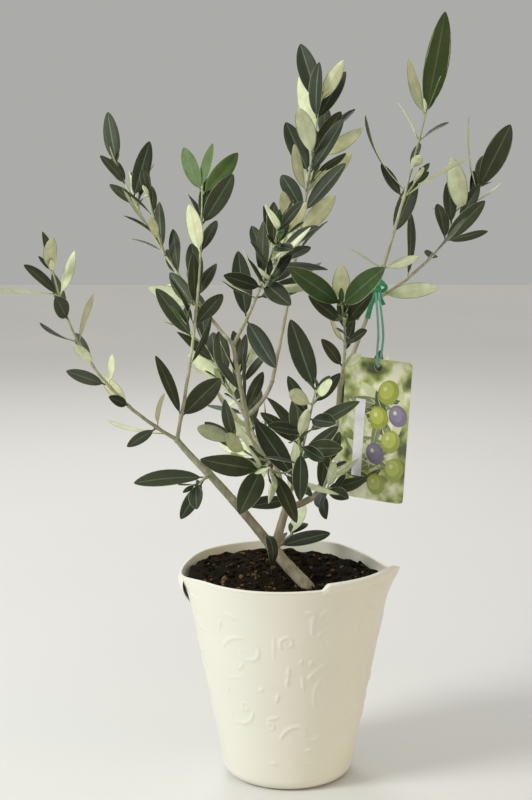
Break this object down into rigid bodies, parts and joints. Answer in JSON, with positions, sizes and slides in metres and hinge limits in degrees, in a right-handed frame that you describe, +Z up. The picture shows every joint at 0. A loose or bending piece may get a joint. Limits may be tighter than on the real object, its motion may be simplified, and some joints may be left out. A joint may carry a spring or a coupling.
{
  "type": "potted olive tree",
  "caption": "Young potted olive tree: a leaning trunk forks low into bare boughs with sparse leafy shoots, in a tapered embossed pot with a hanging card tag.",
  "frame": {"origin": "centre of the pot's flat underside", "axes": "+Z up the plant, -Y towards the front view, +X to the right in that view"},
  "size_m": [0.3683, 0.2672, 0.5466],
  "materials": {
    "pot_shell": "cream, satin, embossed scrolls",
    "soil": "moist dark compost with bark chips",
    "bark": "smooth pale grey-tan young bark",
    "foliage": "leathery leaves, dark grey-green above and pale sage below",
    "tag_card": "glossy printed card",
    "ribbon": "satin green ribbon"
  },
  "bodies": {
    "root": {"pot": "pot_shell", "soil": "soil", "trunk": "bark", "bough_left_low": "bark", "bough_left_high": "bark", "bough_fork": "bark", "bough_right_low": "bark", "bough_right_high": "bark", "bough_right_top": "bark", "bough_centre_low": "bark", "bough_centre": "bark", "bough_centre_high": "bark", "bough_top": "bark", "foliage_far_left": "foliage", "foliage_left": "foliage", "foliage_long_left": "foliage", "foliage_mid_left": "foliage", "foliage_top": "foliage", "foliage_tall_right": "foliage", "foliage_outer_right": "foliage", "foliage_inner_right": "foliage", "foliage_front": "foliage", "foliage_low_centre": "foliage", "foliage_low_left": "foliage", "foliage_low_right": "foliage", "foliage_base": "foliage", "foliage_back": "foliage", "foliage_back_right": "foliage", "tag": "tag_card", "tag_tie": "ribbon"}
  },
  "joints": []
}
